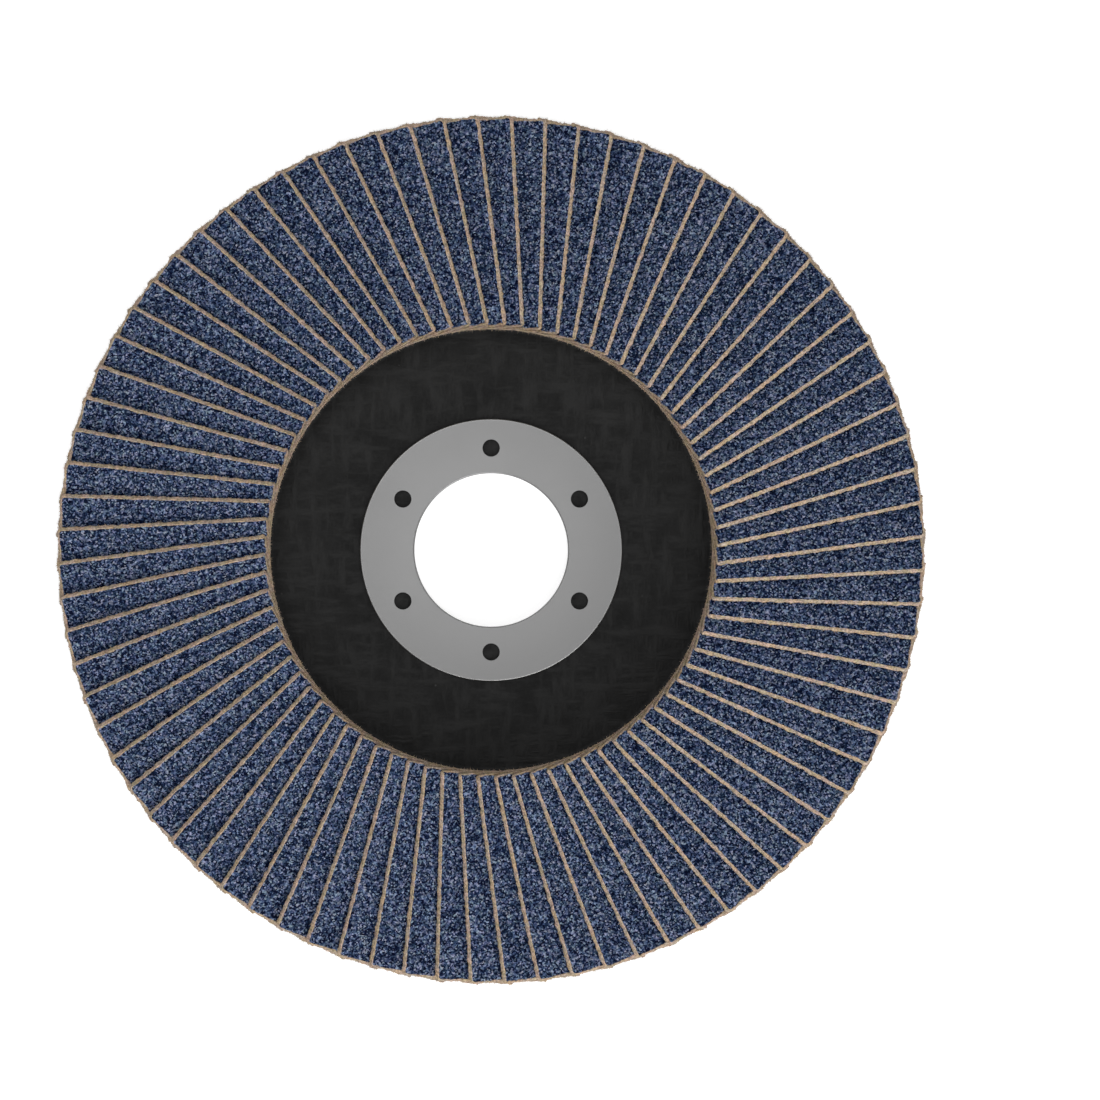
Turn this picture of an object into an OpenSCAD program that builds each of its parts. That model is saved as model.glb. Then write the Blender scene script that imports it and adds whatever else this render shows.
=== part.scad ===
// Flap disc for an angle grinder: overlapping flaps of coated abrasive cloth, glued in a ring
// on a depressed-centre glass-fibre plate with a flanged steel arbor ring.
// The origin is on the bore axis, in the plane of the plate's back, and +Z is the abrasive face.

/* [Disc] */
// Diameter over the outermost flap corners
disc_d = 125; // [100:0.5:180]
// Diameter of the arbor hole
bore_d = 22.23; // [16:0.01:24]

/* [Backing plate] */
// Wall thickness of the pressed plate
plate_t = 2.8; // [2:0.1:4]
// How far the hub lies behind the flap seat
hub_depth = 4.6; // [3.5:0.1:8]
// Slope of the ramp between the hub and the flap seat
ramp_angle = 65; // [40:1:70]
// Radius at the foot of the ramp, on the front
ramp_foot_r = 1.2; // [1:0.1:3]
// Radius at the top of the ramp, on the back
ramp_back_r = 0.5; // [0.3:0.1:2]
// How far the flaps stand out past the plate's edge
plate_inset = 3.5; // [2:0.1:8]
// Rounding of the plate's edge
plate_edge_r = 0.5; // [0.2:0.1:0.9]

/* [Arbor ring] */
// Outer diameter of the ring's flange
flange_d = 38; // [34:0.1:44]
// Sheet thickness of the ring
ring_t = 0.6; // [0.4:0.05:1]
// Rounding of the ring's sheet edges
ring_edge_r = 0.2; // [0.05:0.05:0.25]
// How far the collar's back end is flared outwards
flare_w = 0.7; // [0.3:0.05:1.2]
// How far the flared end stays in from the plate's back
flare_inset = 0.1; // [0.05:0.05:0.4]
// Number of small holes in the flange
hole_n = 6; // [3:1:10]
// Diameter of the small holes
hole_d = 2.5; // [1.5:0.1:3]
// Diameter of the circle that the small holes lie on
hole_circle_d = 29.5; // [28:0.1:32]
// Clearance between the collar and the plate's hole
collar_gap = 0.05; // [0.02:0.01:0.2]

/* [Flaps] */
// Number of flaps round the disc
flap_n = 80; // [60:4:96]
// Length of a flap, along the disc's radius
flap_l = 30.25; // [20:0.25:34]
// Width of a flap as it shows from the front, foot to free edge
flap_w = 16; // [12:0.1:20]
// How far the free edge lies past the flap's radial centre line
free_side = 6.4; // [4:0.1:8]
// Thickness of the coated cloth
flap_t = 0.85; // [0.6:0.05:1.1]
// Rounding of the corners at the free edge
corner_r = 0.8; // [0.3:0.1:1.5]
// How much the stack opens up towards the rim, none at 0
fan = 0.5; // [0:0.05:1]
// Space between neighbouring flaps at their inner ends
flap_gap = 0.12; // [0.08:0.01:0.4]
// Turn of the whole flap ring against the small holes
ring_turn = 2.985; // [0:0.005:4.5]

/* [Adhesive] */
// Thickness of the adhesive under the foot of each flap
glue_t = 0.4; // [0.2:0.1:1]
// How far the adhesive stays back from both edges of the flap seat
glue_margin = 0.5; // [0.2:0.1:2]
// How far the flaps' inner ends reach past the inner edge of the flap seat
inner_overhang = 5; // [0.5:0.1:6]
// Clearance between a flap and the adhesive
seat_gap = 0.1; // [0.05:0.01:0.2]

/* [Hidden] */
$fn = 96;
RAD = PI / 180;

pair_n = flap_n / 2;
function pair_name(i) = str("flap_pair_", i < 10 ? "0" : "", i);

// Plan of one flap, with its centre line on X
foot_side = flap_w - free_side;
flap_out = sqrt(pow(disc_d / 2, 2) - pow(foot_side, 2));
flap_in = flap_out - flap_l;
pitch = 360 / flap_n;

// Plate: heights and radii
seat_z = plate_t + hub_depth;
seat_in_r = flap_in + inner_overhang;
plate_r = disc_d / 2 - plate_inset;
ramp_top_r = plate_t + ramp_back_r;
ramp_l = (hub_depth - (ramp_foot_r + ramp_top_r) * (1 - cos(ramp_angle))) / sin(ramp_angle);
ramp_run = (ramp_foot_r + ramp_top_r) * sin(ramp_angle) + ramp_l * cos(ramp_angle);
hub_r = seat_in_r - ramp_run;

// Ring: radii, and the heights of its flare and of the countersink that holds it
bore_r = bore_d / 2;
collar_r = bore_r + ring_t;
plate_bore_r = collar_r + collar_gap;
flare_z = flare_inset + flare_w;
countersink = flare_z + (sqrt(2) - 1) * (ring_t + collar_gap);

// Adhesive: radii
glue_in_r = seat_in_r + glue_margin;
glue_out_r = plate_r - glue_margin;
foot_z = seat_z + glue_t + seat_gap;

// Height that one flap climbs per radian at its inner end, so that each flap clears the next
pitch_rad = pitch * RAD;
climb_in = (pitch_rad * flap_gap + sqrt(pow(pitch_rad * flap_gap, 2)
    + (pow(pitch_rad, 2) - pow(flap_t / flap_in, 2)) * (pow(flap_t, 2) - pow(flap_gap, 2))))
    / (pow(pitch_rad, 2) - pow(flap_t / flap_in, 2));
function climb(r) = climb_in * pow(r / flap_in, fan);

// Height of a flap's underside at a point of its plan, and its thickness measured upright
function under_z(p) = let (r = norm(p)) foot_z + climb(r) * RAD * (asin(foot_side / r) - atan2(p.y, p.x));
function upright_t(p) = let (r = norm(p)) flap_t * sqrt(1 + pow(climb(r) / r, 2));

// Number of straight pieces in an arc: on the ramp, on an edge and on a flap's corner
ramp_steps = 6;
edge_steps = 4;
corner_steps = 2;

// Points along an arc
function arc(centre, r, from, to, steps) = [
    for (i = [0:steps]) let (a = from + (to - from) * i / steps) centre + r * [cos(a), sin(a)]
];

module backing_plate() {
    foot_centre = [hub_r, plate_t + ramp_foot_r];
    top_centre = [seat_in_r, seat_z - ramp_top_r];
    rim_r = plate_r - plate_edge_r;
    color([0.14, 0.14, 0.14])
    rotate_extrude()
    polygon(concat(
        [[plate_bore_r, plate_t]],
        arc(foot_centre, ramp_foot_r, -90, ramp_angle - 90, ramp_steps),
        arc(top_centre, ramp_top_r, 90 + ramp_angle, 90, ramp_steps),
        arc([rim_r, seat_z - plate_edge_r], plate_edge_r, 90, 0, edge_steps),
        arc([rim_r, hub_depth + plate_edge_r], plate_edge_r, 0, -90, edge_steps),
        arc(top_centre, ramp_back_r, 90, 90 + ramp_angle, ramp_steps),
        arc(foot_centre, ramp_foot_r + plate_t, ramp_angle - 90, -90, ramp_steps),
        [[plate_bore_r + countersink, 0], [plate_bore_r, countersink]]
    ));
}

// One sheet: a flange in front, a collar through the plate and a flared edge behind
module arbor_ring() {
    flange_r = flange_d / 2;
    top_z = plate_t + ring_t;
    flare_t = ring_t / sqrt(2);
    difference() {
        color([0.6, 0.6, 0.6])
        rotate_extrude()
        polygon(concat(
            [[collar_r, plate_t], [flange_r, plate_t]],
            arc([flange_r - ring_edge_r, top_z - ring_edge_r], ring_edge_r, 0, 90, edge_steps),
            arc([bore_r + ring_edge_r, top_z - ring_edge_r], ring_edge_r, 90, 180, edge_steps),
            [
                [bore_r, flare_z],
                [bore_r + flare_w, flare_inset],
                [bore_r + flare_w + flare_t, flare_inset + flare_t],
                [collar_r, flare_z + (sqrt(2) - 1) * ring_t]
            ]
        ));
        for (i = [0:hole_n - 1])
            rotate([0, 0, 90 + i * 360 / hole_n])
            translate([hole_circle_d / 2, 0, 0])
            cylinder(d = hole_d, h = top_z + ring_t);
    }
}

// Plan of a flap as rows along its length, closer together inwards, and columns across it, of
// which the first ones follow the rounding of the corners at the free edge
rows = 4;
row_spread = 1.2;
columns = corner_steps + 3;
function row_x(i) = flap_in + flap_l * pow(i / rows, row_spread);
function corner_angle(j) = 90 * min(j / corner_steps, 1);
function column_y(j) = -free_side + corner_r * (1 - cos(corner_angle(j)))
    + (flap_w - corner_r) * max(j - corner_steps, 0) / (columns - corner_steps);
function end_side(i) = i == 0 ? 1 : i == rows ? -1 : 0;
function plan_point(i, j) = [row_x(i) + end_side(i) * corner_r * (1 - sin(corner_angle(j))), column_y(j)];

// One flap: a sheet that climbs from its foot on the adhesive to its free edge on the next flap
module flap() {
    plan = [for (i = [0:rows], j = [0:columns]) plan_point(i, j)];
    count = len(plan);
    wide = columns + 1;
    cells = [for (i = [0:rows - 1], j = [0:columns - 1]) i * wide + j];
    border = concat(
        [for (i = [0:rows - 1]) i * wide],
        [for (j = [0:columns - 1]) rows * wide + j],
        [for (i = [rows:-1:1]) i * wide + columns],
        [for (j = [columns:-1:1]) j]
    );
    polyhedron(
        points = concat(
            [for (p = plan) [p.x, p.y, under_z(p)]],
            [for (p = plan) [p.x, p.y, under_z(p) + upright_t(p)]]
        ),
        faces = concat(
            [for (c = cells) [c, c + wide, c + wide + 1]],
            [for (c = cells) [c, c + wide + 1, c + 1]],
            [for (c = cells) [count + c, count + c + wide + 1, count + c + wide]],
            [for (c = cells) [count + c, count + c + 1, count + c + wide + 1]],
            [for (i = [0:len(border) - 1]) let (a = border[i], b = border[(i + 1) % len(border)])
                [a, count + a, count + b, b]]
        )
    );
}

// Two flaps that lie opposite each other
module flap_pair(i) {
    color([0.24, 0.28, 0.37])
    for (k = [i - 1, i - 1 + pair_n])
        rotate([0, 0, ring_turn + k * pitch]) flap();
}

// Ring of adhesive with one tooth under each flap: its top follows the flap's underside, and its
// step stands behind the foot of the flap before
glue_rows = 4;
step_side = foot_side + seat_gap;
function turned(p, a) = [p.x * cos(a) - p.y * sin(a), p.x * sin(a) + p.y * cos(a)];
function step_point(j) = let (r = glue_in_r + (glue_out_r - glue_in_r) * j / glue_rows)
    [sqrt(pow(r, 2) - pow(step_side, 2)), step_side];

module adhesive_bed() {
    wide = glue_rows + 1;
    layer = flap_n * wide;
    steps = [for (k = [0:flap_n - 1], j = [0:glue_rows]) turned(step_point(j), ring_turn + k * pitch)];
    low = [for (j = [0:glue_rows]) under_z(step_point(j)) - seat_gap];
    high = [for (j = [0:glue_rows]) under_z(turned(step_point(j), -pitch)) - seat_gap];
    cells = [for (k = [0:flap_n - 1], j = [0:glue_rows - 1])
        [k * wide + j, ((k + 1) % flap_n) * wide + j]];
    ends = [for (k = [0:flap_n - 1]) [k * wide, ((k + 1) % flap_n) * wide]];
    rims = [for (e = ends) e + [glue_rows, glue_rows]];
    color([0.3, 0.24, 0.16])
    polyhedron(
        points = concat(
            [for (p = steps) [p.x, p.y, seat_z]],
            [for (n = [0:layer - 1]) [steps[n].x, steps[n].y, low[n % wide]]],
            [for (n = [0:layer - 1]) [steps[n].x, steps[n].y, high[n % wide]]]
        ),
        faces = concat(
            [for (c = cells) [c[0], c[0] + 1, c[1] + 1, c[1]]],
            [for (c = cells) [2 * layer + c[0], layer + c[1], layer + c[1] + 1]],
            [for (c = cells) [2 * layer + c[0], layer + c[1] + 1, 2 * layer + c[0] + 1]],
            [for (c = cells) [layer + c[0], 2 * layer + c[0], 2 * layer + c[0] + 1, layer + c[0] + 1]],
            [for (e = ends) [layer + e[0], e[0], e[1]]],
            [for (e = ends) [layer + e[0], e[1], layer + e[1]]],
            [for (e = ends) [layer + e[0], layer + e[1], 2 * layer + e[0]]],
            [for (e = rims) [layer + e[0], e[1], e[0]]],
            [for (e = rims) [layer + e[0], layer + e[1], e[1]]],
            [for (e = rims) [layer + e[0], 2 * layer + e[0], layer + e[1]]]
        )
    );
}

backing_plate();
arbor_ring();
adhesive_bed();
for (i = [1:pair_n])
    flap_pair(i);
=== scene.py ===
"""Flap disc for an angle grinder: its cloth flaps, pressed plate, steel ring and adhesive.

The packed solids are the frame. The flaps are made here as cut pieces of coated cloth, the plate
and the ring as smooth pressings, and each of them stands for its solid.
"""

import math

import bmesh
import bpy
import numpy as np
from mathutils import Matrix, Vector
from mathutils.geometry import delaunay_2d_cdt


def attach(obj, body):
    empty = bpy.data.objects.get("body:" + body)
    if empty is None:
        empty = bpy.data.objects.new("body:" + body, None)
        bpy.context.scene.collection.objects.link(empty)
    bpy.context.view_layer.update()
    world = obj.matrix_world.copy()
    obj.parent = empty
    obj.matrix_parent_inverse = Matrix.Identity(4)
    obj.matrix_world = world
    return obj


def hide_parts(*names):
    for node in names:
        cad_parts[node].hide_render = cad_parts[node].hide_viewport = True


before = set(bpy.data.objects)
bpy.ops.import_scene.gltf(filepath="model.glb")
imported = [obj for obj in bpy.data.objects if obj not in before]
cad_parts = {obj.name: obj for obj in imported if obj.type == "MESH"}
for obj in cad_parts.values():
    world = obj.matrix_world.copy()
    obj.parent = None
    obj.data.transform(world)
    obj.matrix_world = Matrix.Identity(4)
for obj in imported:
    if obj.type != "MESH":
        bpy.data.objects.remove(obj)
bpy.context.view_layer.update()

bl_info = {
    "name": "Flap disc",
    "version": (1, 0, 0),
    "blender": (4, 5, 0),
    "location": "View3D > Sidebar > Flap disc",
    "description": "Makes the pieces of a flap disc and the stage they are shown on",
    "category": "Object",
}

MM = 0.001


# Sizes and colours


def length(name, description, millimetres):
    return bpy.props.FloatProperty(
        name=name, description=description, default=millimetres * MM, unit="LENGTH", precision=4
    )


def angle(name, description, degrees):
    return bpy.props.FloatProperty(
        name=name, description=description, default=math.radians(degrees), subtype="ANGLE"
    )


def count(name, description, number):
    return bpy.props.IntProperty(name=name, description=description, default=number, min=3)


def share(name, description, number):
    return bpy.props.FloatProperty(name=name, description=description, default=number, min=0.0)


def tint(name, description, *colour):
    return bpy.props.FloatVectorProperty(
        name=name, description=description, default=colour, subtype="COLOR", min=0.0, max=1.0
    )


class FlapSizes(bpy.types.PropertyGroup):
    """One flap as it is cut, and how the flaps lie on each other."""

    count: count("Flaps", "Number of flaps round the disc", 80)
    disc: length("Disc", "Diameter over the outermost flap corners", 125)
    length: length("Length", "Length of a flap along the radius", 30.25)
    width: length("Width", "Width of a flap from foot to free edge", 16)
    free_side: length("Free side", "Free edge's distance from the flap's radial line", 6.4)
    thickness: length("Thickness", "Thickness of the coated cloth", 0.85)
    corner: length("Corner", "Rounding of the outer corner at the free edge", 0.8)
    inner_corner: length("Inner corner", "Rounding of the inner corner at the free edge", 0.4)
    gap: length("Gap", "Space between neighbours at their inner ends", 0.12)
    fan: share("Fan", "How much the stack opens towards the rim", 0.5)
    turn: angle("Turn", "Direction of the first flap", 2.985)
    foot_height: length("Foot height", "Height of a flap's foot over the plate's back", 7.9)
    grain_step: length("Grain step", "Distance between neighbouring grains", 0.25)
    grain_depth: length("Grain depth", "Height of the grains over the resin", 0.12)
    fray: length("Fray", "How far the cut edges wander", 0.12)
    trim: length("Trim", "How far the outer ends are worn back", 0.03)
    askew: length("Askew", "How much further they are worn back at the free edge", 0.117)
    yarn: length("Yarn", "Length of the yarn ends that stand out of the cut", 0.45)
    yarn_ends: share("Yarn ends", "Yarn ends on a square millimetre of the outer end", 9.0)


class FlapColours(bpy.types.PropertyGroup):
    """Colours of the coated cloth."""

    pits: tint("Pits", "Resin between the grains", 0.0003, 0.0020, 0.0125)
    dark: tint("Dark grain", "Grain faces that lie in shade", 0.0057, 0.0164, 0.0420)
    middle: tint("Grain", "Most of the grain", 0.0345, 0.0622, 0.1105)
    bright: tint("Bright grain", "Grain faces that look up", 0.090, 0.131, 0.191)
    light: tint("Light grain", "Grain faces that catch light", 0.255, 0.338, 0.400)
    cloth: tint("Cloth", "Cut edge of the cloth", 0.486, 0.402, 0.256)
    cloth_dark: tint("Darker cloth", "Resin-soaked cloth", 0.231, 0.187, 0.116)


class PlateSizes(bpy.types.PropertyGroup):
    """The pressed plate."""

    wall: length("Wall", "Wall thickness of the plate", 2.8)
    depth: length("Depth", "How far the hub lies behind the flap seat", 4.6)
    slope: angle("Slope", "Slope of the ramp between hub and seat", 65)
    foot: length("Foot", "Radius at the foot of the ramp, in front", 1.2)
    back: length("Back", "Radius at the top of the ramp, behind", 0.5)
    overhang: length("Overhang", "How far the flaps reach past the seat's inner edge", 5)
    inset: length("Inset", "How far the flaps stand out past the rim", 3.5)
    rim: length("Rim", "Rounding of the rim", 0.5)
    weave: length("Weave", "Width of the streaks that the glass threads leave", 1.4)
    colour: tint("Resin", "Black resin", 0.0004, 0.0004, 0.0004)
    thread: tint("Thread", "Glass threads under the resin", 0.0178, 0.0178, 0.0178)


class RingSizes(bpy.types.PropertyGroup):
    """The steel arbor ring."""

    bore: length("Bore", "Diameter of the arbor hole", 22.23)
    flange: length("Flange", "Outer diameter of the flange", 38)
    sheet: length("Sheet", "Thickness of the sheet", 0.6)
    edge: length("Edge", "Rounding of the sheet's edges", 0.2)
    flare: length("Flare", "How far the collar's end is flared", 0.7)
    back: length("Back", "How far the flare stays in from the plate's back", 0.1)
    gap: length("Gap", "Space between the collar and the plate", 0.05)
    holes: count("Holes", "Number of small holes", 6)
    hole: length("Hole", "Diameter of the small holes", 2.5)
    circle: length("Circle", "Diameter of the circle of the small holes", 29.5)
    steel: tint("Steel", "Plated sheet steel", 0.246, 0.246, 0.246)


class StageSizes(bpy.types.PropertyGroup):
    """Camera, lamps and floor."""

    distance: length("Camera height", "Height of the camera over the disc", 650)
    field: length("Field", "Width of the view at the flaps' feet", 158)
    shift: share("Shift", "Shift of the view to the right", 0.0535)
    world: share("Sky", "Strength of the even light", 0.67)
    key: share("Key lamp", "Power in watts of the lamp at the side", 2.05)
    top: share("Top lamp", "Power in watts of the lamp overhead", 0.55)


SETTINGS = {
    "disc_flaps": FlapSizes,
    "disc_flap_colours": FlapColours,
    "disc_plate": PlateSizes,
    "disc_ring": RingSizes,
    "disc_stage": StageSizes,
}


# Node trees


class Value:
    """A socket in a node tree. Expressions on values add Math nodes to the tree."""

    def __init__(self, tree, socket):
        self.tree = tree
        self.socket = socket

    def math(self, operation, *others):
        return self.tree.node("ShaderNodeMath", {"operation": operation}, [self, *others])

    def __add__(self, other):
        return self.math("ADD", other)

    def __radd__(self, other):
        return self.math("ADD", other)

    def __sub__(self, other):
        return self.math("SUBTRACT", other)

    def __rsub__(self, other):
        return self.tree.number("SUBTRACT", other, self)

    def __mul__(self, other):
        return self.math("MULTIPLY", other)

    def __rmul__(self, other):
        return self.math("MULTIPLY", other)

    def __truediv__(self, other):
        return self.math("DIVIDE", other)

    def __rtruediv__(self, other):
        return self.tree.number("DIVIDE", other, self)

    def __pow__(self, other):
        return self.math("POWER", other)

    def __rpow__(self, other):
        return self.tree.number("POWER", other, self)

    def clamp(self):
        return self.tree.node("ShaderNodeClamp", {}, [self, 0.0, 1.0])

    def ramp(self, low, high):
        """0 up to low, 1 from high on, and smooth between."""
        settings = {"interpolation_type": "SMOOTHSTEP"}
        return self.tree.node("ShaderNodeMapRange", settings, [self, low, high])


class Tree:
    """Adds nodes to a shader's or a geometry's node tree."""

    def __init__(self, nodes):
        self.nodes = nodes.nodes
        self.links = nodes.links

    def node(self, kind, settings=None, values=(), output=0):
        """Makes a node. values are its inputs in order, or a dictionary by name or number."""
        node = self.nodes.new(kind)
        for name, value in (settings or {}).items():
            if name == "stops":
                self.stops(node.color_ramp, value)
            else:
                setattr(node, name, value)
        named = values.items() if isinstance(values, dict) else enumerate(values)
        for key, value in named:
            self.put(node.inputs[key], value)
        return Value(self, node.outputs[output])

    def put(self, socket, value):
        if isinstance(value, Value):
            self.links.new(value.socket, socket)
        else:
            socket.default_value = value

    def stops(self, ramp, stops):
        while len(ramp.elements) < len(stops):
            ramp.elements.new(1.0)
        for element, (place, shade) in zip(ramp.elements, stops):
            element.position = place
            element.color = colour(shade)

    def number(self, operation, *values):
        return self.node("ShaderNodeMath", {"operation": operation}, values)

    def other(self, value, output):
        """Another output of the node that value comes from."""
        return Value(self, value.socket.node.outputs[output])

    def mix(self, factor, a, b, blend="MIX"):
        settings = {"data_type": "RGBA", "blend_type": blend}
        return self.node("ShaderNodeMix", settings, {0: factor, 6: colour(a), 7: colour(b)}, 2)

    def vector(self, operation, *values, output=0):
        return self.node("ShaderNodeVectorMath", {"operation": operation}, values, output)

    def parts(self, vector):
        """The three numbers of a vector or colour."""
        split = self.node("ShaderNodeSeparateXYZ", {}, [vector])
        return split, self.other(split, 1), self.other(split, 2)


def colour(value):
    """A colour with its fourth number, or a value as it is."""
    return value if isinstance(value, Value) else (*value, 1.0)


class Finish(Tree):
    """A material's tree, with the nodes that this object's finishes share."""

    def __init__(self, name):
        self.material = bpy.data.materials.new(name)
        self.material.use_nodes = True
        super().__init__(self.material.node_tree)
        self.shader = self.nodes["Principled BSDF"]

    def place(self):
        return self.node("ShaderNodeTexCoord", output="Object")

    def noise(self, place, scale, detail=2.0, rough=0.5, output="Fac"):
        values = {"Vector": place, "Scale": scale, "Detail": detail, "Roughness": rough}
        return self.node("ShaderNodeTexNoise", {}, values, output)

    def cells(self, place, scale, output="Distance"):
        values = {"Vector": place, "Scale": scale}
        return self.node("ShaderNodeTexVoronoi", {"feature": "F1"}, values, output)

    def attribute(self, name, output="Fac"):
        return self.node("ShaderNodeAttribute", {"attribute_name": name}, output=output)

    def from_axis(self, place):
        """Distance from the disc's axis."""
        flat = self.vector("MULTIPLY", place, (1.0, 1.0, 0.0))
        return self.vector("LENGTH", flat, output="Value")

    def bump(self, height, distance, strength):
        values = {"Height": height, "Distance": distance, "Strength": strength}
        return self.node("ShaderNodeBump", {}, values)

    def finish(self, constants=None, **linked):
        """Sets the shader's own sockets, and links the ones that vary over the surface."""
        for name, value in (constants or {}).items():
            self.shader.inputs[name].default_value = value
        for name, value in linked.items():
            self.put(self.shader.inputs[name.replace("_", " ").title()], value)
        return self.material


# Finishes


# How far from a flap's free edge, outer end and inner end the cloth is bare, in millimetres
BARE = (0.31, 0.44, 0.21)
# The free edge is bare by this much less at its inner end, and in full this far along it
BARE_LESS, BARE_IN_FULL = 0.09, 28.0
# The inner end is bare more widely under the next flap
BARE_MORE = 0.3
# How far the limit of the bare cloth wanders
BARE_WANDER = 0.56

BLACK = (0.0, 0.0, 0.0)
# Depth of the bumps of grain, threads and weave
RELIEF = 0.12 * MM


def patches(t, place, scale, base, redder, bluer):
    """A colour with redder and with bluer patches."""
    red, blue, _ = t.parts(t.noise(place, scale, 2.0, output="Color"))
    warm = t.mix(red.ramp(0.35, 0.65), base, (redder, 1.0, 1.0), "MULTIPLY")
    return t.mix(blue.ramp(0.35, 0.65), warm, (1.0, 1.0, bluer), "MULTIPLY")


def cotton(t, place, dark, light):
    """Tan cotton fibres in lighter and darker, warmer and cooler patches."""
    fibres = t.noise(place, 3300.0, 4.0, 0.65)
    tan = t.mix(fibres.ramp(0.33, 0.67), dark, light)
    return patches(t, place, 950.0, tan, 1.16, 1.30)


def soaking(along):
    """How far resin has soaked the cloth, which it does from the inner end."""
    return along.ramp(0.9, 0.3)


def grain_finish(look, long):
    """Blue abrasive grain in resin, rubbed off along the cut edges."""
    t = Finish("blue_grain")
    place = t.place()
    grains_in_metre = 4600.0
    shade, gloss, _ = t.parts(t.cells(place, grains_in_metre, output="Color"))
    gaps = t.cells(place, grains_in_metre)
    fine = t.noise(place, 5200.0, 2.0, 0.6)
    clots = t.cells(place, 1500.0)
    light = (shade * 1.08 + fine * 0.55 - clots * 0.35 - 0.238).clamp()
    stops = [
        (0.0, look.pits),
        (0.28, look.dark),
        (0.50, look.middle),
        (0.73, look.bright),
        (1.0, look.light),
    ]
    ramp = t.node("ShaderNodeValToRGB", {"stops": stops}, [light])
    grain = patches(t, place, 1500.0, ramp, 1.28, 1.24)

    along, across, _ = t.parts(t.attribute("cloth", "Vector"))
    free, outer, inner = BARE
    from_free = across - free + (1.0 - along / BARE_IN_FULL) * BARE_LESS
    from_outer = long / MM - along - outer
    from_inner = along - inner - across.ramp(2.0, 3.0) * BARE_MORE
    edge = from_free.math("MINIMUM", from_outer).math("MINIMUM", from_inner)
    wander = t.noise(place, 1000.0, 3.0, 0.55)
    bare = (edge + wander * BARE_WANDER - BARE_WANDER / 2).ramp(0.08, -0.08)
    tan = cotton(t, place, look.cloth_dark, look.cloth)
    soaked = t.mix(soaking(along) * 0.28, tan, BLACK)
    shown = t.mix(bare, grain, soaked)
    height = fine * 0.6 + (1.0 - gaps) * 0.6
    normal = t.bump(height, RELIEF, 0.8)
    rough = 0.66 - gloss * 0.25 + bare * 0.25
    return t.finish({"Specular IOR Level": 0.04}, Base_Color=shown, Roughness=rough, Normal=normal)


def edge_finish(look):
    """Cut and frayed edge of the cloth."""
    t = Finish("cut_edge")
    place = t.place()
    fresh = [1.3 * c for c in look.cloth]
    tan = cotton(t, place, look.cloth_dark, fresh)
    # A layer of dark resin lies between the cloth and the grain
    through = t.attribute("through")
    resin = through.ramp(0.66, 0.76) * through.ramp(0.92, 0.84)
    along, _, _ = t.parts(t.attribute("cloth", "Vector"))
    brown = (0.10, 0.085, 0.08)
    layered = t.mix(resin * 0.25, tan, brown)
    shown = t.mix(soaking(along) * 0.05, layered, BLACK)
    threads = t.noise(place, 3500.0, 3.0, 0.6)
    normal = t.bump(threads, RELIEF, 0.8)
    constants = {"Specular IOR Level": 0.2}
    return t.finish(constants, Base_Color=shown, Roughness=0.9 - threads * 0.15, Normal=normal)


def back_finish(look):
    """Woven back of the cloth."""
    t = Finish("cloth_back")
    along, across, _ = t.parts(t.attribute("cloth", "Vector"))
    yarn_pitch = 0.42
    turn = 2 * math.pi / yarn_pitch
    warp = (along * turn).math("SINE") * 0.5 + 0.5
    weft = (across * turn).math("SINE") * 0.5 + 0.5
    weave = warp.math("MAXIMUM", weft)
    threads = t.noise(t.place(), 2500.0, 3.0, 0.6)
    tan = t.mix((weave * 0.6 + threads * 0.4).clamp(), look.cloth_dark, look.cloth)
    normal = t.bump(weave * 0.8 + threads * 0.3, RELIEF, 0.8)
    return t.finish(Base_Color=tan, Roughness=0.92 - weave * 0.08, Normal=normal)


def plate_finish(look):
    """Black resin over a glass mesh, which shows as faint crossing streaks."""
    t = Finish("black_laminate")
    place = t.place()
    streaks = 0.9 / look.weave
    drawn = 0.25
    upright = t.noise(t.vector("MULTIPLY", place, (1.0, drawn, 1.0)), streaks, 3.0, 0.6)
    level = t.noise(t.vector("MULTIPLY", place, (drawn, 1.0, 1.0)), streaks, 3.0, 0.6)
    weave = upright.math("MAXIMUM", level).ramp(0.42, 0.68)
    blotch = t.noise(place, 330.0, 3.0, 0.6)
    grit = t.noise(place, 2600.0, 2.0)
    tone = (weave * 0.52 + blotch.ramp(0.3, 0.75) * 0.2 + grit * 0.5).clamp()
    black = t.mix(tone, look.colour, look.thread)
    flecks = t.cells(place, 420.0).ramp(0.10, 0.05) * t.noise(place, 700.0).ramp(0.55, 0.7)
    # Painted light: the plate turns lighter towards the flaps, where it lies in their shade. The
    # same grey gives the flecks.
    painted_light = t.from_axis(place).ramp(19 * MM, 31 * MM) * 0.030
    dust_and_painted_light = (0.20, 0.20, 0.20)
    shown = t.mix(painted_light + flecks * 0.15, black, dust_and_painted_light)
    normal = t.bump(weave * 0.6 + blotch * 0.5 + grit * 0.12, 0.09 * MM, 0.6)
    constants = {"Specular IOR Level": 0.11}
    return t.finish(constants, Base_Color=shown, Roughness=0.44 - blotch * 0.12, Normal=normal)


def steel_finish(look):
    """Satin sheet steel with a thin plating."""
    t = Finish("satin_steel")
    place = t.place()
    cloud = t.noise(place, 90.0, 3.0, 0.55)
    grit = t.noise(place, 5200.0, 2.0)
    rubbed = t.noise(place, 900.0, 3.0, 0.6)
    tone = t.mix((cloud * 0.7 + rubbed * 0.3).clamp(), [0.95 * c for c in look.steel], look.steel)
    # Darker outwards, up to the rounded edge, which carries a painted highlight
    r = t.from_axis(place)
    darker_outwards = r.ramp(look.bore / 2, look.flange / 2) * 0.09
    bright = r.ramp(look.flange / 2 - look.edge * 1.5, look.flange / 2 - look.edge * 0.5)
    highlight_colour = [2.0 * c for c in look.steel]
    shown = t.mix(bright * 0.5, t.mix(darker_outwards, tone, BLACK), highlight_colour)
    normal = t.bump(grit * 0.6 + rubbed * 0.4, 0.02 * MM, 0.4)
    return t.finish(
        {"Metallic": 1.0}, Base_Color=shown, Roughness=0.31 + cloud * 0.08, Normal=normal
    )


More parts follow.
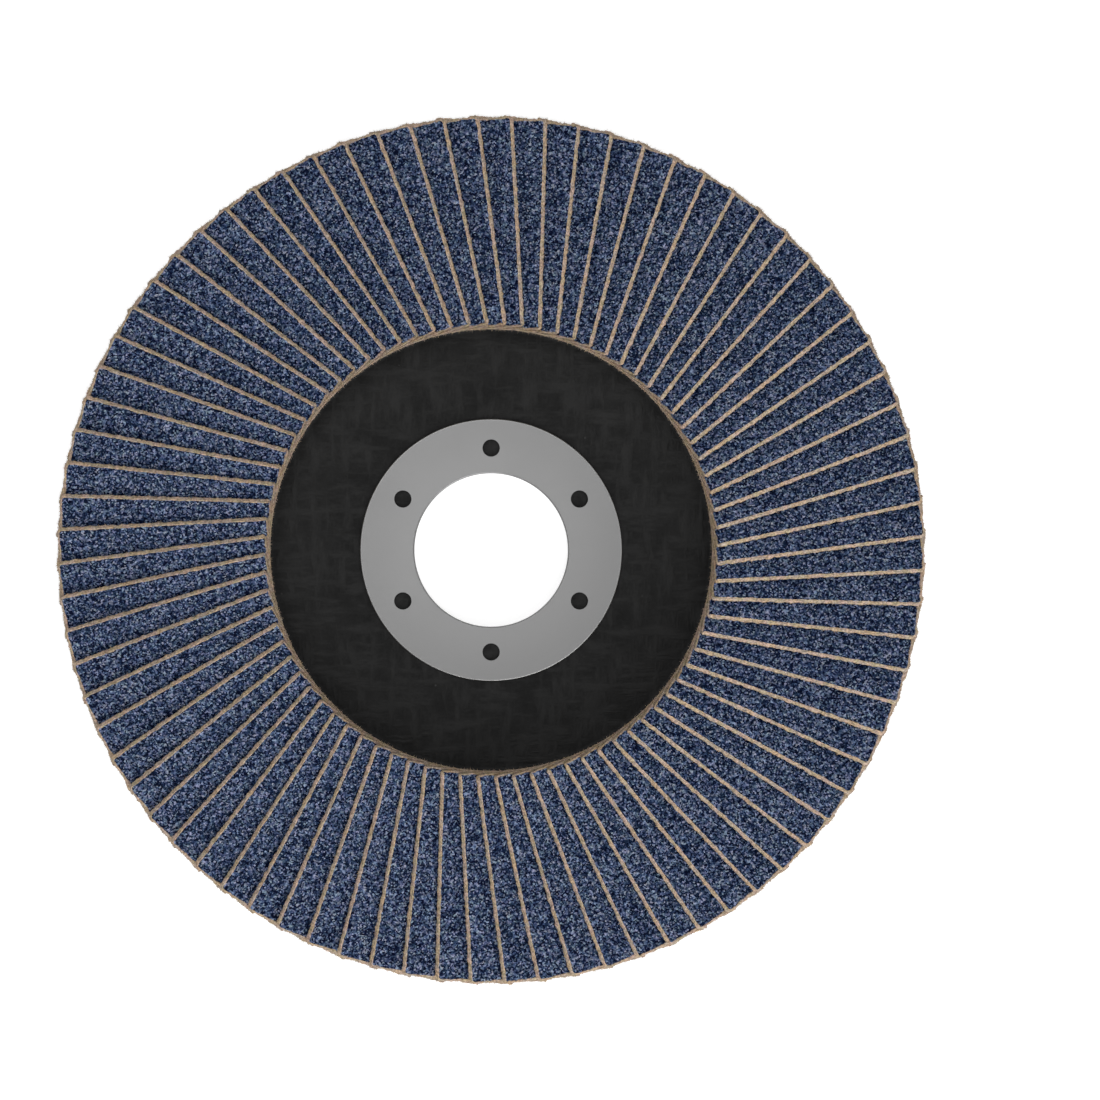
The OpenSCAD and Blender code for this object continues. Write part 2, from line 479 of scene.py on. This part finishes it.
def adhesive_finish():
    """Cured brown resin."""
    t = Finish("cured_adhesive")
    place = t.place()
    blotch = t.noise(place, 300.0, 3.0, 0.6)
    brown = t.mix(blotch, (0.060, 0.036, 0.018), (0.16, 0.11, 0.06))
    normal = t.bump(t.noise(place, 900.0, 2.0), 0.15 * MM, 0.6)
    return t.finish(Base_Color=brown, Roughness=0.38 + blotch * 0.25, Normal=normal)


def floor_finish():
    """Pale floor that keeps the disc's shadow, and is white to the camera and in reflections."""
    t = Finish("floor")
    path = t.node("ShaderNodeLightPath", output="Is Camera Ray")
    seen = path.math("MAXIMUM", t.other(path, "Is Glossy Ray"))
    seen = seen.math("MAXIMUM", t.other(path, "Is Transmission Ray"))
    mottle = t.noise(t.place(), 6.0, 2.0)
    tone = t.mix(mottle, (0.78, 0.78, 0.78), (0.80, 0.80, 0.80))
    white = t.node("ShaderNodeEmission", {}, {"Color": (1, 1, 1, 1), "Strength": seen * 0.62})
    t.finish(Base_Color=tone, Roughness=0.9 - mottle * 0.05)
    both = t.node("ShaderNodeAddShader", {}, [Value(t, t.shader.outputs[0]), white])
    output = next(n for n in t.nodes if n.bl_idname == "ShaderNodeOutputMaterial")
    t.links.new(both.socket, output.inputs["Surface"])
    return t.material


# Flaps


def climb_at_inner_end(flaps):
    """Height in metres that a flap climbs per radian at its inner end, to clear the next one."""
    pitch = 2 * math.pi / flaps.count
    r = inner_radius(flaps)
    t, c = flaps.thickness, flaps.gap
    slack = pitch**2 - (t / r) ** 2
    return (pitch * c + math.sqrt((pitch * c) ** 2 + slack * (t**2 - c**2))) / slack


def inner_radius(flaps):
    """Distance of a flap's inner end from the axis, along the flap's radial line."""
    foot_side = flaps.width - flaps.free_side
    return math.sqrt((flaps.disc / 2) ** 2 - foot_side**2) - flaps.length


TOP, CUT, SOLE = range(3)
FREE, OUTER, FOOT, INNER = range(4)
# Rounding of the corners at the foot, in millimetres
FOOT_CORNER = 0.12
# The cut edge from the underside to the top: how far it stands in, in millimetres, and its height
# as a share of the thickness
EDGE_STEPS = [(0.05, 0.0), (0.0, 0.14), (0.05, 0.50), (0.15, 0.80), (0.27, 0.96)]
# By side: how slanted and how ragged the cut is, and its share of the yarn ends
SLANT = {FREE: 1.0, OUTER: 1.0, FOOT: 0.4, INNER: 0.2}
RAGGED = {FREE: 1.6, OUTER: 1.9, FOOT: 0.5, INNER: 0.8}
YARN = {FREE: 0.2, OUTER: 1.0, FOOT: 0.0, INNER: 0.3}


def cut_outline(long, wide, corner, inner_corner, step):
    """The flap's outline, anticlockwise in millimetres: points, outward directions and sides."""
    points, outward, sides = [], [], []

    def side(start, end, direction, spacing, number):
        pieces = max(2, round((end - start).length / spacing))
        for i in range(pieces):
            points.append(start.lerp(end, i / pieces))
            outward.append(direction)
            sides.append(number)

    def bend(centre, radius, from_angle, steps, number):
        for i in range(steps):
            a = math.radians(from_angle + 90 * i / steps)
            way = Vector((math.cos(a), math.sin(a)))
            points.append(centre + radius * way)
            outward.append(way)
            sides.append(number)

    c, d, f = corner, inner_corner, FOOT_CORNER
    side(Vector((d, 0)), Vector((long - c, 0)), Vector((0, -1)), step, FREE)
    bend(Vector((long - c, c)), c, -90, 6, OUTER)
    side(Vector((long, c)), Vector((long, wide - f)), Vector((1, 0)), step, OUTER)
    bend(Vector((long - f, wide - f)), f, 0, 2, FOOT)
    side(Vector((long - f, wide)), Vector((f, wide)), Vector((0, 1)), 1.5, FOOT)
    bend(Vector((f, wide - f)), f, 90, 2, INNER)
    side(Vector((0, wide - f)), Vector((0, d)), Vector((-1, 0)), step * 1.3, INNER)
    bend(Vector((d, d)), d, 180, 3, INNER)
    return points, outward, sides


def fill(outline, inside):
    """Triangles between an outline and the points inside it, as numbers into both lists."""
    around = len(outline)
    edges = [(i, (i + 1) % around) for i in range(around)]
    places = [*outline, *inside]
    inside_only, tolerance = 1, 1e-7
    found = delaunay_2d_cdt(places, edges, [list(range(around))], inside_only, tolerance)
    origin = [ids[0] for ids in found[3]]
    faces = [[origin[v] for v in face] for face in found[2]]
    for face in faces:
        a, b, c = (places[v] for v in face)
        if (b - a).cross(c - a) < 0:
            face.reverse()
    return faces


def grain_points(rng, step, long, wide, reach):
    """Scattered points: close where the flap shows, far apart where the next flap covers it."""
    points = []
    margin, row_height, under_next = 0.38, 0.866, 0.35
    rows = int(wide / (step * row_height)) + 1
    for row in range(rows):
        y = margin + row * step * row_height
        for column in range(int(long / step) + 1):
            x = margin + (column + 0.5 * (row % 2)) * step
            shake = rng.uniform(-0.3, 0.3, 2) * step
            if x < long - margin and y < reach(x) + under_next:
                points.append(Vector((x + shake[0], y + shake[1])))
    margin, foot_margin, gap = 1.3, 0.8, 1.1
    rows, columns = 5, 12
    for row in range(rows):
        for column in range(columns):
            x = margin + (long - 2 * margin) * column / (columns - 1)
            low = reach(x) + gap
            points.append(Vector((x, low + (wide - foot_margin - low) * row / (rows - 1))))
    return points


def sole_points(long, wide):
    """An even grid of points for the underside."""
    margin_x, margin_y = 1.2, 1.1
    columns, rows = 16, 9
    return [
        Vector((
            margin_x + (long - 2 * margin_x) * i / (columns - 1),
            margin_y + (wide - 2 * margin_y) * j / (rows - 1),
        ))
        for i in range(columns)
        for j in range(rows)
    ]


def flat_blank(flaps):
    """One flap as it is cut from the sheet: x along it, y from its free edge, z from its back."""
    rng = np.random.default_rng(11)
    long, wide = (flaps.length - flaps.trim) / MM, flaps.width / MM
    thick = flaps.thickness / MM
    inner = inner_radius(flaps) / MM
    pitch = 2 * math.pi / flaps.count
    corners = (flaps.corner / MM, flaps.inner_corner / MM)
    spacing = 0.21
    outline, outward, sides = cut_outline(long, wide, *corners, spacing)
    askew = flaps.askew / MM
    outline = [p - Vector((askew * (1 - p.y / wide) * p.x / long, 0)) for p in outline]
    around = len(outline)

    def reach(x):
        """How far from the free edge the next flap's free edge lies."""
        return (inner + x) * math.sin(pitch)

    places, ragged, loops = [], [], []
    for inset, height in EDGE_STEPS:
        loop = [p - inset * SLANT[side] * way for p, way, side in zip(outline, outward, sides)]
        places += [(p.x, p.y, height * thick) for p in loop]
        looseness = 1.0 if height < 0.9 else 0.4
        ragged += [looseness * RAGGED[side] * way for way, side in zip(outward, sides)]
        loops.append(loop)
    sole, rim = loops[0], loops[-1]
    last = (len(EDGE_STEPS) - 1) * around

    grains = grain_points(rng, flaps.grain_step / MM, long, wide, reach)
    top_start = len(places)
    places += [(p.x, p.y, thick) for p in grains]
    ragged += [Vector((0, 0))] * len(grains)
    under = sole_points(long, wide)
    sole_start = len(places)
    places += [(p.x, p.y, 0.0) for p in under]
    ragged += [Vector((0, 0))] * len(under)

    faces, surfaces, face_sides = [], [], []
    for low in range(0, last, around):
        high = low + around
        for i in range(around):
            j = (i + 1) % around
            faces.append([low + i, low + j, high + j, high + i])
            surfaces.append(CUT)
            face_sides.append(sides[i])
    for face in fill(rim, grains):
        faces.append([last + v if v < around else top_start + v - around for v in face])
        surfaces.append(TOP)
        face_sides.append(None)
    for face in fill(sole, under):
        faces.append([v if v < around else sole_start + v - around for v in reversed(face)])
        surfaces.append(SOLE)
        face_sides.append(None)

    mesh = bpy.data.meshes.new("flap_blank")
    mesh.from_pydata([(x * MM, y * MM, z * MM) for x, y, z in places], [], faces)
    # Grains stand out only where the flap shows, and a little way under the next one
    grain = np.zeros(len(places))
    under_next = 0.4
    for i, p in enumerate(grains):
        grain[top_start + i] = 1.0 if p.y < reach(p.x) + under_next else 0.0
    write_numbers(mesh, "grain", "FLOAT", "POINT", grain)
    ways = [number for way in ragged for number in (*way, 0.0)]
    write_numbers(mesh, "ragged", "FLOAT_VECTOR", "POINT", ways, "vector")
    write_numbers(mesh, "surface", "INT", "FACE", surfaces)
    write_numbers(mesh, "yarn", "FLOAT", "FACE", [YARN.get(side, 0.0) for side in face_sides])
    blank_maps(mesh, places, surfaces, face_sides, long, wide, thick)
    mesh.update()
    return mesh


def write_numbers(mesh, name, kind, domain, numbers, field="value"):
    """Stores numbers in an attribute of a mesh."""
    layer = mesh.attributes.new(name, kind, domain)
    layer.data.foreach_set(field, numbers)


def blank_maps(mesh, places, surfaces, face_sides, long, wide, thick):
    """Two maps: places on the flat cloth in millimetres, and a layout with room for each face."""
    cloth = mesh.uv_layers.new(name="cloth")
    layout = mesh.uv_layers.new(name="OFBake")
    border = 0.02
    scale = 0.96 / long
    # The top lies lowest, drawn together where the next flap hides it, then the sides and the sole
    shown, drawn = 5.6, 0.55
    strips, strip_height = {FREE: 0.44, OUTER: 0.50, INNER: 0.56, FOOT: 0.62}, 0.035
    sole, sole_height = 0.66, 0.30

    for polygon, surface, side in zip(mesh.polygons, surfaces, face_sides):
        for corner in polygon.loop_indices:
            x, y, z = places[mesh.loops[corner].vertex_index]
            cloth.data[corner].uv = (x, y)
            if surface == TOP:
                rise = y if y < shown else shown + (y - shown) * drawn
                spot = (border + x * scale, border + rise * scale)
            elif surface == SOLE:
                spot = (border + x * scale, sole + y * sole_height / wide)
            else:
                run = x if side in (FREE, FOOT) else y * long / wide
                spot = (border + run * scale, strips[side] + strip_height * z / thick)
            layout.data[corner].uv = spot
    layout.active = True


def flap_tree(materials):
    """Geometry nodes that lay a flat blank on the disc as one of its flaps."""
    group = bpy.data.node_groups.new("flap_on_disc", "GeometryNodeTree")
    geometry = {"in_out": "INPUT", "socket_type": "NodeSocketGeometry"}
    sockets = {"Geometry": group.interface.new_socket("Geometry", **geometry)}
    names = (
        "Flap Number", "Turn", "Inner Radius", "Foot Side", "Free Side", "Width", "Foot Height",
        "Climb", "Fan", "Thickness", "Grain Depth", "Fray", "Yarn", "Yarn Ends",
    )
    for name in names:
        kind = "NodeSocketInt" if name == "Flap Number" else "NodeSocketFloat"
        sockets[name] = group.interface.new_socket(name, in_out="INPUT", socket_type=kind)
    group.interface.new_socket("Geometry", in_out="OUTPUT", socket_type="NodeSocketGeometry")
    t = Tree(group)
    given = t.node("NodeGroupInput")
    get = {name: t.other(given, i) for i, name in enumerate(("Geometry", *names))}

    def named(name, kind="FLOAT"):
        return t.node("GeometryNodeInputNamedAttribute", {"data_type": kind}, {"Name": name})

    # The cut edges wander outwards and inwards, each flap's at another place in the noise
    lot = get["Flap Number"] * 7.31
    position = t.node("GeometryNodeInputPosition")
    noise = {"Vector": position, "W": lot, "Scale": 1000.0, "Detail": 3.0, "Roughness": 0.7}
    wander = t.node("ShaderNodeTexNoise", {"noise_dimensions": "4D"}, noise)
    shove = {0: named("ragged", "FLOAT_VECTOR"), "Scale": (wander - 0.5) * get["Fray"] * 4.0}
    frayed = t.node("ShaderNodeVectorMath", {"operation": "SCALE"}, shove)
    x, y, z = t.parts(t.vector("ADD", position, frayed))

    # Grains stand at random heights on the resin
    random = {2: 0.0, 3: 1.0, 8: get["Flap Number"] + 40}
    level = t.node("FunctionNodeRandomValue", {"data_type": "FLOAT"}, random, 1)
    z = z - named("grain") * get["Grain Depth"] * (1.0 - level ** 1.4)

    # Place on the flap's own plan, and the height of its underside there
    px = x + get["Inner Radius"]
    py = y - get["Free Side"]
    r = (px * px + py * py) ** 0.5
    climb = get["Climb"] * (r / get["Inner Radius"]) ** get["Fan"]
    from_foot = (get["Foot Side"] / r).math("ARCSINE") - py.math("ARCTAN2", px)
    under = get["Foot Height"] + climb * from_foot
    slope = climb / r
    steep = (1.0 + slope * slope) ** 0.5

    # The cut at the free edge is square to the cloth, and upright at the foot
    lean = (1.0 - y / get["Width"]).clamp() * z * slope / steep
    height = under + z * steep - lean * slope
    laid = t.node("ShaderNodeCombineXYZ", {}, [px, py + lean, height])
    turned = t.node(
        "ShaderNodeVectorRotate", {"rotation_type": "Z_AXIS"},
        {"Vector": laid, "Center": (0.0, 0.0, 0.0), "Angle": get["Turn"]},
    )
    through = (z / get["Thickness"]).clamp()
    marked = t.node(
        "GeometryNodeStoreNamedAttribute", {"data_type": "FLOAT", "domain": "POINT"},
        {"Geometry": get["Geometry"], "Name": "through", "Value": through},
    )
    moved = t.node("GeometryNodeSetPosition", {}, {"Geometry": marked, "Position": turned})
    joined = t.nodes.new("GeometryNodeJoinGeometry")
    for part in (yarn_ends(t, get, moved, named("yarn")), moved):
        t.links.new(part.socket, joined.inputs[0])
    whole = t.node("GeometryNodeRealizeInstances", {}, [Value(t, joined.outputs[0])])
    surface = named("surface", "INT")
    for number, material in enumerate(materials):
        equal = {"data_type": "INT", "operation": "EQUAL"}
        chosen = t.node("FunctionNodeCompare", equal, {2: surface, 3: number})
        smooth = {"Geometry": whole, "Selection": chosen, "Shade Smooth": number != TOP}
        whole = t.node("GeometryNodeSetShadeSmooth", {}, smooth)
        dressed = {"Geometry": whole, "Selection": chosen, "Material": material}
        whole = t.node("GeometryNodeSetMaterial", {}, dressed)
    t.links.new(whole.socket, t.nodes.new("NodeGroupOutput").inputs[0])
    return group, {name: socket.identifier for name, socket in sockets.items()}


def yarn_ends(t, get, flap, where):
    """Short pointed ends of yarn, scattered over the cut edges of a flap."""
    thick, sunk_by = 0.04 * MM, 0.05 * MM
    settings = {"Vertices": 3, "Radius Top": 0.0, "Radius Bottom": thick, "Depth": get["Yarn"]}
    end = t.node("GeometryNodeMeshCone", {}, settings)
    # All yarn ends share one corner of the layout, and take the tone of the middle of the cloth
    room = t.vector("MULTIPLY_ADD", t.other(end, "UV Map"), (0.02, 0.01, 0.0), (0.95, 0.975, 0.0))
    middle = (15.0, 8.0, 0.0)
    for name, kind, domain, value in (
        ("OFBake", "FLOAT2", "CORNER", room),
        ("cloth", "FLOAT2", "CORNER", middle),
        ("surface", "INT", "FACE", CUT),
    ):
        kinds = {"data_type": kind, "domain": domain}
        values = {"Geometry": end, "Name": name, "Value": value}
        end = t.node("GeometryNodeStoreNamedAttribute", kinds, values)
    sunk = t.node("GeometryNodeTransform", {}, {"Geometry": end, "Translation": (0, 0, -sunk_by)})

    seed = get["Flap Number"]
    density = where * get["Yarn Ends"] / (MM * MM)
    spread = {"Mesh": flap, "Density": density, "Seed": seed}
    points = t.node("GeometryNodeDistributePointsOnFaces", {}, spread)
    marks = {"Geometry": points, "Name": "*"}
    plain = t.node("GeometryNodeRemoveAttribute", {"pattern_mode": "WILDCARD"}, marks)

    def chance(low, high, shift):
        values = {0: low, 1: high, 8: seed + shift}
        return t.node("FunctionNodeRandomValue", {"data_type": "FLOAT_VECTOR"}, values)

    lean = t.node("FunctionNodeEulerToRotation", {}, [chance((-0.8, -0.8, 0), (0.8, 0.8, 6), 90)])
    upright = t.other(points, "Rotation")
    turned = t.node(
        "FunctionNodeRotateRotation", {"rotation_space": "LOCAL"}, [upright, lean]
    )
    size = chance((0.6, 0.6, 0.35), (1.3, 1.3, 1.2), 160)
    placed = {"Points": plain, "Instance": sunk, "Rotation": turned, "Scale": size}
    return t.node("GeometryNodeInstanceOnPoints", {}, placed)


# Plate and ring


def arc(centre, radius, start, end):
    """Points along an arc between two directions in degrees, in the plane of radius and height."""
    steps = 10
    turns = (math.radians(start + (end - start) * i / steps) for i in range(steps + 1))
    return [Vector(centre) + radius * Vector((math.cos(a), math.sin(a))) for a in turns]


def plate_profile(plate, ring, flaps):
    """Half a section through the plate."""
    slope = math.degrees(plate.slope)
    outer = plate.wall + plate.back
    bends = plate.foot + outer
    run = (plate.depth - bends * (1 - math.cos(plate.slope))) / math.sin(plate.slope)
    seat = inner_radius(flaps) + plate.overhang
    hub = seat - bends * math.sin(plate.slope) - run * math.cos(plate.slope)
    foot = (hub, plate.wall + plate.foot)
    head = (seat, plate.depth - plate.back)
    rim = flaps.disc / 2 - plate.inset - plate.rim
    bore = ring.bore / 2 + ring.sheet + ring.gap
    sink = ring.flare + ring.back + (math.sqrt(2) - 1) * (ring.sheet + ring.gap)
    return [
        Vector((bore, plate.wall)),
        *arc(foot, plate.foot, -90, slope - 90),
        *arc(head, outer, 90 + slope, 90),
        *arc((rim, plate.wall + plate.depth - plate.rim), plate.rim, 90, 0),
        *arc((rim, plate.depth + plate.rim), plate.rim, 0, -90),
        *arc(head, plate.back, 90, 90 + slope),
        *arc(foot, plate.foot + plate.wall, slope - 90, -90),
        Vector((bore + sink, 0.0)),
        Vector((bore, sink)),
    ]


def ring_profile(ring, seat):
    """Half a section through the ring: flange, collar and flare."""
    bore, flange = ring.bore / 2, ring.flange / 2
    collar = bore + ring.sheet
    top = seat + ring.sheet - ring.edge
    flare = ring.back + ring.flare
    slant = ring.sheet / math.sqrt(2)
    return [
        Vector((collar, seat)),
        Vector((flange, seat)),
        *arc((flange - ring.edge, top), ring.edge, 0, 90),
        *arc((bore + ring.edge, top), ring.edge, 90, 180),
        Vector((bore, flare)),
        Vector((bore + ring.flare, ring.back)),
        Vector((bore + ring.flare + slant, ring.back + slant)),
        Vector((collar, flare + (math.sqrt(2) - 1) * ring.sheet)),
    ]


def lathe(name, profile, steps, material):
    """A body turned round Z from half a section."""
    # Points close to the ends of the long runs keep these flat where they are shaded smooth
    near, section = 0.06 * MM, []
    long_run = 6 * near
    for a, b in zip(profile, [*profile[1:], profile[0]]):
        section.append(a)
        if (b - a).length > long_run:
            step = (b - a).normalized() * near
            section += [a + step, b - step]
    shape = bmesh.new()
    rings = [
        [shape.verts.new((p.x * math.cos(a), p.x * math.sin(a), p.y)) for p in section]
        for a in (2 * math.pi * i / steps for i in range(steps))
    ]
    for here, there in zip(rings, [*rings[1:], rings[0]]):
        for j in range(len(section)):
            k = (j + 1) % len(section)
            shape.faces.new((here[j], there[j], there[k], here[k]))
    bmesh.ops.recalc_face_normals(shape, faces=shape.faces)
    piece = new_piece(name, shape)
    piece.data.materials.append(material)
    return piece


def drill(piece, ring, seat):
    """Cuts the small holes through the ring's flange."""
    shape = bmesh.new()
    for i in range(ring.holes):
        a = math.radians(90 + 360 * i / ring.holes)
        place = Vector((math.cos(a), math.sin(a), 0)) * ring.circle / 2 + Vector((0, 0, seat))
        bmesh.ops.create_cone(
            shape, cap_ends=True, segments=48, radius1=ring.hole / 2, radius2=ring.hole / 2,
            depth=ring.sheet * 4, matrix=Matrix.Translation(place),
        )
    drills = new_piece("drills", shape)
    cut = piece.modifiers.new("holes", "BOOLEAN")
    cut.object = drills
    cut.solver = "EXACT"
    freeze(piece)
    bpy.data.objects.remove(drills)


# Pieces


def in_scene(name, data):
    """An object in the scene from a mesh, a lamp or a camera."""
    thing = bpy.data.objects.new(name, data)
    bpy.context.scene.collection.objects.link(thing)
    return thing


def new_piece(name, shape):
    """A piece from an edited shape."""
    mesh = bpy.data.meshes.new(name)
    shape.to_mesh(mesh)
    shape.free()
    return in_scene(name, mesh)


def freeze(piece):
    """Turns a piece and its modifiers into a plain mesh."""
    graph = bpy.context.evaluated_depsgraph_get()
    mesh = bpy.data.meshes.new_from_object(
        piece.evaluated_get(graph), preserve_all_data_layers=True, depsgraph=graph
    )
    for number in reversed(range(len(mesh.materials))):
        if mesh.materials[number] is None:
            mesh.materials.pop(index=number)
    piece.modifiers.clear()
    piece.data = mesh
    mesh.name = piece.name


# Edges that turn by more than this stay sharp
SHARP = math.radians(30)


def round_off(piece):
    """Shades a piece smooth, apart from its sharp edges."""
    piece.data.shade_smooth()
    piece.data.set_sharp_from_angle(angle=SHARP)


def hand_over(piece, material_slot, *nodes):
    """Ties a finished piece to the frame."""
    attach(piece, "root")
    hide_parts(*nodes)


def dress(node, material):
    """Gives a solid of the frame its finish."""
    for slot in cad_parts[node].material_slots:
        slot.material = material


# Operators


class MakeStage(bpy.types.Operator):
    """Makes the camera, the lamps and the pale floor"""

    bl_idname = "flap_disc.stage"
    bl_label = "Stage"

    def execute(self, context):
        stage = context.scene.disc_stage
        sizes = context.scene.disc_flaps
        lens = bpy.data.cameras.new("camera")
        lens.lens = lens.sensor_width * stage.distance / stage.field
        lens.shift_x = stage.shift
        camera = in_scene("camera", lens)
        camera.location = (0.0, 0.0, sizes.foot_height + stage.distance)
        context.scene.camera = camera

        world = bpy.data.worlds.new("studio")
        world.use_nodes = True
        world.node_tree.nodes["Background"].inputs["Color"].default_value = (1, 1, 1, 1)
        world.node_tree.nodes["Background"].inputs["Strength"].default_value = stage.world
        context.scene.world = world

        # Both lamps shine at the disc: their place and size in metres, and their power
        for name, place, size, power in (
            ("key", (0.15, -0.42, 0.40), 0.45, stage.key),
            ("top", (-0.07, 0.12, 0.92), 0.25, stage.top),
        ):
            lamp = bpy.data.lights.new(name, "AREA")
            lamp.size = size
            lamp.energy = power
            holder = in_scene(name, lamp)
            holder.location = place
            holder.rotation_euler = (-Vector(place)).to_track_quat("-Z", "Y").to_euler()

        mesh = bpy.data.meshes.new("floor")
        far = 3.0
        corners = [(-far, -far, 0), (far, -far, 0), (far, far, 0), (-far, far, 0)]
        mesh.from_pydata(corners, [], [[0, 1, 2, 3]])
        mesh.materials.append(floor_finish())
        floor = in_scene("floor", mesh)
        context.scene.view_settings.view_transform = "Standard"
        return {"FINISHED"}


class MakeFlaps(bpy.types.Operator):
    """Makes every flap from one flat blank"""

    bl_idname = "flap_disc.flaps"
    bl_label = "Flaps"

    def execute(self, context):
        flaps = context.scene.disc_flaps
        look = context.scene.disc_flap_colours
        blank = flat_blank(flaps)
        top = grain_finish(look, flaps.length - flaps.trim)
        tree, inputs = flap_tree([top, edge_finish(look), back_finish(look)])
        half = flaps.count // 2
        pitch = 2 * math.pi / flaps.count
        if f"flap_pair_{half:02d}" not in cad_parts:
            raise RuntimeError("the frame has another number of flaps")
        numbers = {
            "Inner Radius": inner_radius(flaps),
            "Foot Side": flaps.width - flaps.free_side,
            "Free Side": flaps.free_side,
            "Width": flaps.width,
            "Foot Height": flaps.foot_height,
            "Climb": climb_at_inner_end(flaps),
            "Fan": flaps.fan,
            "Thickness": flaps.thickness,
            "Grain Depth": flaps.grain_depth,
            "Fray": flaps.fray,
            "Yarn": flaps.yarn,
            "Yarn Ends": flaps.yarn_ends,
        }
        for k in range(flaps.count):
            piece = in_scene(f"flap_{k + 1:02d}", blank)
            shaping = piece.modifiers.new("shape", "NODES")
            shaping.node_group = tree
            for name, number in numbers.items():
                shaping[inputs[name]] = number
            shaping[inputs["Flap Number"]] = k + 1
            shaping[inputs["Turn"]] = flaps.turn + k * pitch
            freeze(piece)
            hand_over(piece, "flaps", f"flap_pair_{k % half + 1:02d}")
        return {"FINISHED"}


class MakePlate(bpy.types.Operator):
    """Turns the pressed plate"""

    bl_idname = "flap_disc.plate"
    bl_label = "Backing plate"

    def execute(self, context):
        scene = context.scene
        plate = scene.disc_plate
        profile = plate_profile(plate, scene.disc_ring, scene.disc_flaps)
        piece = lathe("plate", profile, 240, plate_finish(plate))
        round_off(piece)
        hand_over(piece, "plate", "backing_plate")
        return {"FINISHED"}


class MakeRing(bpy.types.Operator):
    """Turns the steel arbor ring and drills its flange"""

    bl_idname = "flap_disc.ring"
    bl_label = "Arbor ring"

    def execute(self, context):
        ring = context.scene.disc_ring
        seat = context.scene.disc_plate.wall
        piece = lathe("ring", ring_profile(ring, seat), 192, steel_finish(ring))
        drill(piece, ring, seat)
        round_off(piece)
        hand_over(piece, "ring", "arbor_ring")
        return {"FINISHED"}


class MakeAdhesive(bpy.types.Operator):
    """Finishes the ring of adhesive under the flaps"""

    bl_idname = "flap_disc.adhesive"
    bl_label = "Adhesive"

    def execute(self, context):
        dress("adhesive_bed", adhesive_finish())
        return {"FINISHED"}


OPERATORS = (MakeStage, MakeFlaps, MakePlate, MakeRing, MakeAdhesive)


class DiscPanel(bpy.types.Panel):
    """Sizes, colours and pieces of the flap disc"""

    bl_idname = "VIEW3D_PT_flap_disc"
    bl_label = "Flap disc"
    bl_space_type = "VIEW_3D"
    bl_region_type = "UI"
    bl_category = "Flap disc"

    def draw(self, context):
        for name, settings in SETTINGS.items():
            box = self.layout.box()
            box.label(text=settings.__doc__)
            for size in settings.__annotations__:
                box.prop(getattr(context.scene, name), size)
        for operator in OPERATORS:
            self.layout.operator(operator.bl_idname)


def register():
    for kind in (*SETTINGS.values(), *OPERATORS, DiscPanel):
        bpy.utils.register_class(kind)
    for name, settings in SETTINGS.items():
        setattr(bpy.types.Scene, name, bpy.props.PointerProperty(type=settings))


def unregister():
    for name in SETTINGS:
        delattr(bpy.types.Scene, name)
    for kind in reversed((*SETTINGS.values(), *OPERATORS, DiscPanel)):
        bpy.utils.unregister_class(kind)


def main():
    register()
    bpy.ops.flap_disc.stage()
    bpy.ops.flap_disc.flaps()
    bpy.ops.flap_disc.plate()
    bpy.ops.flap_disc.ring()
    bpy.ops.flap_disc.adhesive()


if __name__ == "__main__":
    main()
